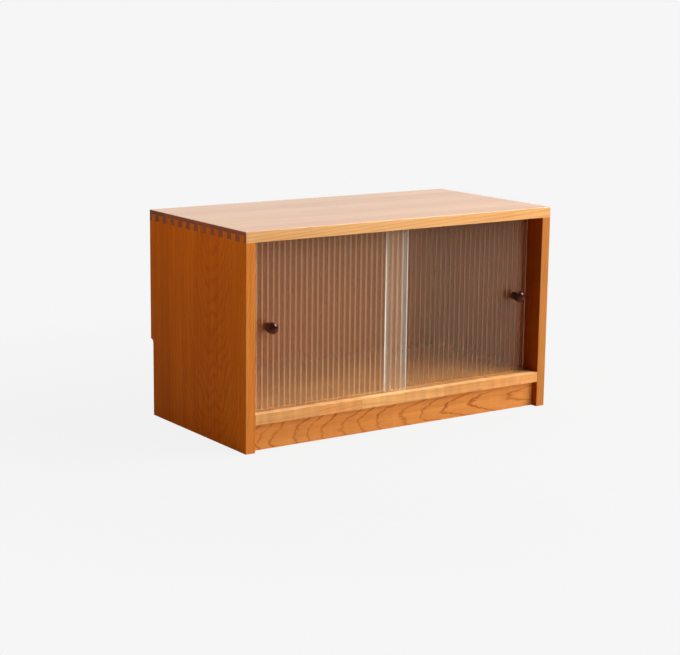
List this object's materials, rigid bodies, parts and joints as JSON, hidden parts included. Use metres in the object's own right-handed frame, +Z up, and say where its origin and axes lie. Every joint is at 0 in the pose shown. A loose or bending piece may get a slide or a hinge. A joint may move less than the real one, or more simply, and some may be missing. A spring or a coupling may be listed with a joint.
{
  "type": "sliding door cabinet",
  "caption": "Low wooden cabinet module with half-blind dovetailed top, recessed plinth and sliding reeded glass doors with turned knobs.",
  "frame": {"origin": "on the floor, midway between the sides and midway along the whole depth with the front door's knob", "axes": "+X to the right seen from the front, +Y to the back, +Z up"},
  "size_m": [0.7, 0.3652, 0.4],
  "materials": {
    "cherry_board": "oiled satin",
    "cherry_plywood": "oiled satin",
    "plain_hardwood": "bare",
    "dark_turned_wood": "polished",
    "reeded_glass": "reeded, clear",
    "steel": "plain",
    "brass": "plain",
    "nylon": "dark brown",
    "glide_plastic": "smooth brown"
  },
  "bodies": {
    "cabinet": {"top_panel": "cherry_board", "left_side_panel": "cherry_board", "right_side_panel": "cherry_board", "bottom_panel": "cherry_board", "front_plinth": "cherry_board", "rear_rail": "cherry_board", "plinth_glue_blocks": "plain_hardwood", "back_panel": "cherry_plywood", "back_panel_screws": "steel", "bottom_dowels": "plain_hardwood", "plinth_dowels": "plain_hardwood", "rail_dowels": "plain_hardwood", "front_glide_strip": "glide_plastic", "rear_glide_strip": "glide_plastic"},
    "left_door": {"left_door_glass": "reeded_glass", "left_knob": "dark_turned_wood", "left_knob_insert": "brass", "left_knob_front_washer": "nylon", "left_knob_bush": "nylon", "left_knob_rear_washer": "nylon", "left_knob_screw": "steel"},
    "right_door": {"right_door_glass": "reeded_glass", "right_knob": "dark_turned_wood", "right_knob_insert": "brass", "right_knob_front_washer": "nylon", "right_knob_bush": "nylon", "right_knob_rear_washer": "nylon", "right_knob_screw": "steel"}
  },
  "joints": [
    {"name": "left_door_slide", "type": "slide", "parent": "cabinet", "child": "left_door", "axis": [1, 0, 0], "range_m": [0, 0.13]},
    {"name": "right_door_slide", "type": "slide", "parent": "cabinet", "child": "right_door", "axis": [-1, 0, 0], "range_m": [-0.0098, 0.13]}
  ]
}
